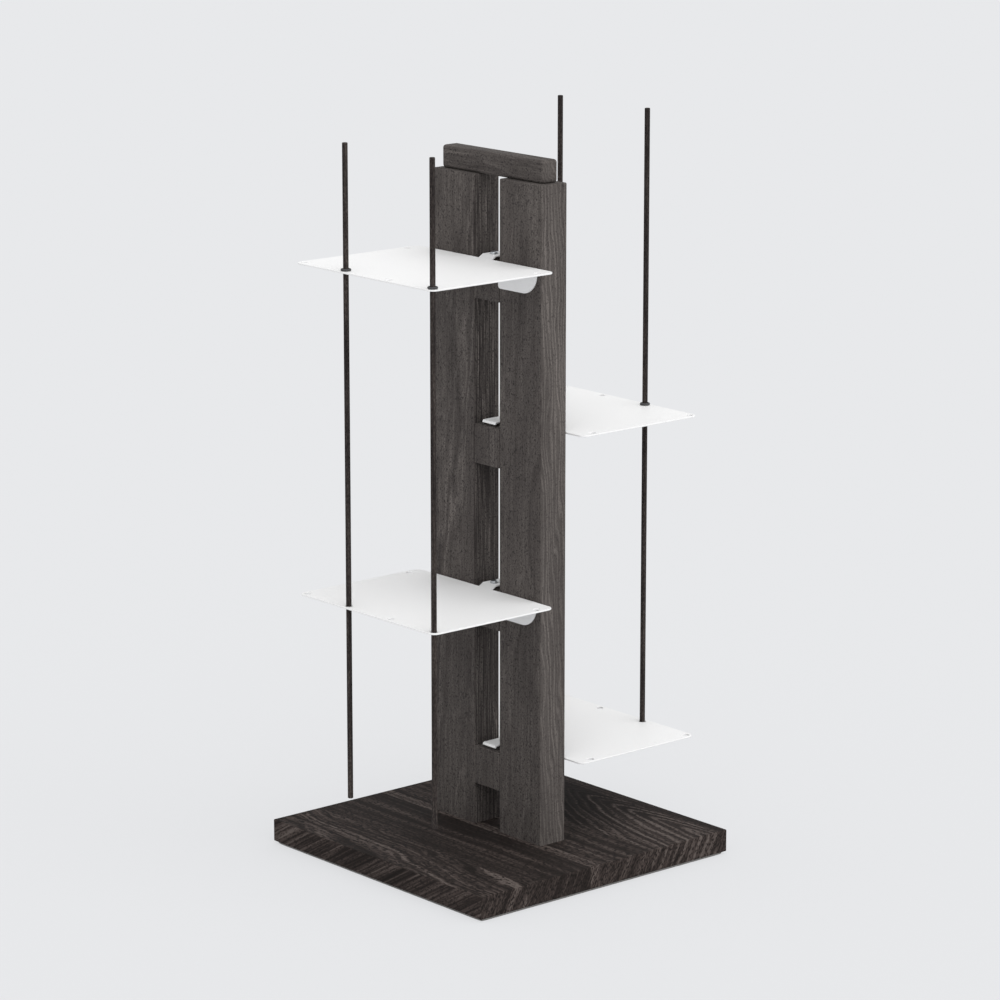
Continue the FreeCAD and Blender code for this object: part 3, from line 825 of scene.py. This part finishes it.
ring_recipe, given = geometry_recipe("rubber_ring", {
    "Centre": ("Vector", None), "Hoop Radius": ("Float", 3.65 * MM), "Section Radius": ("Float", 1.1 * MM),
    "Seam": ("Float", 0.04 * MM), "Finish": ("Material", None)})
section = add(ring_recipe, "GeometryNodeCurvePrimitiveCircle", {"Resolution": SECTION_SIDES,
                                                                "Radius": given["Section Radius"]})
first = add(ring_recipe, "ShaderNodeMath", {0: add(ring_recipe, "GeometryNodeInputIndex"), 1: 0.5},
            operation="LESS_THAN")
seam = add(ring_recipe, "ShaderNodeMath", {0: first, 1: given["Seam"]}, operation="MULTIPLY")
seam = add(ring_recipe, "ShaderNodeCombineXYZ", {"X": seam})
section = add(ring_recipe, "GeometryNodeSetPosition", {"Geometry": section, "Offset": seam})
hoop = add(ring_recipe, "GeometryNodeCurvePrimitiveCircle", {"Resolution": HOOP_SIDES, "Radius": given["Hoop Radius"]})
ring = add(ring_recipe, "GeometryNodeCurveToMesh", {"Curve": hoop, "Profile Curve": section})
spot = add(ring_recipe, "GeometryNodeMeshLine", {"Count": 1, "Start Location": given["Centre"]})
ring = add(ring_recipe, "GeometryNodeInstanceOnPoints", {"Points": spot, "Instance": ring})
ring = add(ring_recipe, "GeometryNodeRealizeInstances", {"Geometry": ring})
ring = add(ring_recipe, "GeometryNodeSetMaterial", {"Geometry": ring, "Material": given["Finish"]})
add(ring_recipe, "NodeGroupOutput", {"Geometry": ring})
print("ring recipe:", len(ring_recipe.nodes), "nodes")

# %% [markdown]
# ## Hanging the rods in their holes
#
# Each rod and its ring are lifted out together, so they ride on one body. Their places and sizes
# could be typed in again, but the frame already holds them, and a number that is read from where
# it was set can't come to differ from it.

# %% Hang the rods
for place in ("front_left", "front_right", "back_left", "back_right"):
    low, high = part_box(f"rod_{place}")
    middle = (low + high) / 2
    rod = grown(f"turned_rod_{place}", rod_recipe, rod_wood, Foot=(middle.x, middle.y, low.z),
                Length=high.z - low.z, Diameter=high.x - low.x)
    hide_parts(f"rod_{place}")
    print(rod.name, "is", round((high.z - low.z) / MM, 1), "mm long and has", len(rod.data.polygons), "faces")

    low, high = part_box(f"ring_{place}")
    middle = (low + high) / 2
    section_radius = (high.z - low.z) / 2
    ring = grown(f"rubber_ring_{place}", ring_recipe, rubber, Centre=tuple(middle), Section_Radius=section_radius,
                 Hoop_Radius=(high.x - low.x) / 2 - section_radius)
    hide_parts(f"ring_{place}")
    print(ring.name, "is", round((high.x - low.x) / MM, 1), "mm wide and has", len(ring.data.polygons), "faces")
    for piece in (rod, ring):
        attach(piece, f"rod_{place}")

# %% [markdown]
# ## The felt under the base
#
# A sheet of pressed wool keeps the heavy board from marking the floor. It is cut a little smaller
# than the board, so only its edge shows, and a cut felt edge is soft, slightly ragged and hairy.
# A plain slab would look like plastic there. So the sheet is drawn as an outline with rounded
# corners that wanders by a fraction of a millimetre, and rings of that outline, drawn in more or
# less, are stacked into a soft rim.

# %% Cut the sheet
FELT_EDGE_POINTS = 60
CORNER_SHARE = 0.06  # the last part of each half side, which belongs to the corner
FELT_RIM = [(0.0, 0.5), (0.20, 0.12), (0.50, 0.0), (0.80, 0.1), (1.0, 0.5)]  # share of height, mm drawn in
RIPPLES_PER_M = 180
RIPPLE_LAYERS = 3
low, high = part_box("base_felt_sheet")
felt_side = high.x - low.x
felt_thick = high.z - low.z


def felt_outline(half, corner):
    """The square's outline with rounded corners, as points round its middle."""
    outline = []
    for quarter in range(4):
        turn = quarter * QUARTER_TURN
        for step in range(FELT_EDGE_POINTS):
            along = (step / FELT_EDGE_POINTS - 0.5) * 2
            bend = max(0.0, abs(along) - (1 - CORNER_SHARE)) / CORNER_SHARE * QUARTER_TURN / 2
            x = half - corner * (1 - math.cos(bend))
            y = math.copysign(min(abs(along) * half, half - corner) + corner * math.sin(bend), along)
            outline.append((x * math.cos(turn) - y * math.sin(turn), x * math.sin(turn) + y * math.cos(turn)))
    return outline


def felt_sheet(name, inset, corner, wander):
    """A soft-rimmed slab: five rings of points from the lower face round the rim to the upper one."""
    half = felt_side / 2 - inset
    outline = felt_outline(half, corner)
    shape = bmesh.new()
    rows = []
    for height, drawn_in in FELT_RIM:
        row = []
        for x, y in outline:
            ripple = noise.noise(Vector((x * RIPPLES_PER_M, y * RIPPLES_PER_M, height * RIPPLE_LAYERS))) * wander
            size = 1 - (drawn_in * MM + abs(ripple)) / half
            row.append(shape.verts.new((x * size, y * size, low.z + height * felt_thick)))
        rows.append(row)
    for below, above in zip(rows, rows[1:]):
        for i in range(len(outline)):
            after = (i + 1) % len(outline)
            shape.faces.new((below[i], below[after], above[after], above[i]))
    shape.faces.new(list(reversed(rows[0])))
    shape.faces.new(rows[-1])
    mesh = bpy.data.meshes.new(name)
    shape.to_mesh(mesh)
    shape.free()
    mesh.materials.append(felt)
    mesh.shade_smooth()
    sheet = bpy.data.objects.new(name, mesh)
    bpy.context.scene.collection.objects.link(sheet)
    return sheet


cut_felt = felt_sheet("cut_felt_sheet", inset=0.3 * MM, corner=3 * MM, wander=0.25 * MM)
print("felt sheet", round(felt_side / MM, 1), "mm square,", round(felt_thick / MM, 1), "mm thick")

# %% [markdown]
# ## Hairs on the felt's rim
#
# Loose fibres stand out of a cut felt edge. Hair particles could make them, but the export keeps
# only meshes. So slim cones are scattered over the rim and tilted at random, with a fixed seed, so
# that every run gives the same felt.

# %% Grow the hairs
RIM_TILT = 0.3  # a face belongs to the rim where its normal rises or falls by less than this
HAIR_TILT = 0.9
# A wool fibre is about 0.03 mm thick. The hairs are drawn three times as thick, so that they show.
hair_recipe, given = geometry_recipe("felt_hairs", {
    "Sheet": ("Geometry", None), "Hairs per m2": ("Float", 6.0e5), "Length": ("Float", 0.58 * MM),
    "Thickness": ("Float", 0.05 * MM), "Seed": ("Int", 7), "Finish": ("Material", None)})
facing = add(hair_recipe, "ShaderNodeSeparateXYZ", {0: add(hair_recipe, "GeometryNodeInputNormal")})
level = add(hair_recipe, "ShaderNodeMath", {0: facing.outputs["Z"]}, operation="ABSOLUTE")
on_rim = add(hair_recipe, "FunctionNodeCompare", {0: level, 1: RIM_TILT}, data_type="FLOAT", operation="LESS_THAN")
roots = add(hair_recipe, "GeometryNodeDistributePointsOnFaces",
            {"Mesh": given["Sheet"], "Selection": on_rim, "Density": given["Hairs per m2"], "Seed": given["Seed"]})
hair = add(hair_recipe, "GeometryNodeMeshCone", {"Vertices": 3, "Radius Top": 0.0, "Depth": given["Length"],
                                                 "Radius Bottom": given["Thickness"]})
tilt = add(hair_recipe, "FunctionNodeRandomValue", {0: (-HAIR_TILT,) * 3, 1: (HAIR_TILT,) * 3, "Seed": given["Seed"]},
           data_type="FLOAT_VECTOR")
aim_out = add(hair_recipe, "FunctionNodeRotateRotation", {0: roots.outputs["Rotation"], 1: tilt})
hairs = add(hair_recipe, "GeometryNodeInstanceOnPoints", {"Points": roots, "Instance": hair, "Rotation": aim_out})
hairs = add(hair_recipe, "GeometryNodeRealizeInstances", {"Geometry": hairs})
hairs = add(hair_recipe, "GeometryNodeSetMaterial", {"Geometry": hairs, "Material": given["Finish"]})
add(hair_recipe, "NodeGroupOutput", {"Geometry": hairs})

felt_hairs = grown("felt_hairs", hair_recipe, felt, start_mesh=cut_felt.data.copy())
for piece in (cut_felt, felt_hairs):
    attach(piece, "bookshelf")
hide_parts("base_felt_sheet")
print("hairs:", len(felt_hairs.data.polygons) // 4)
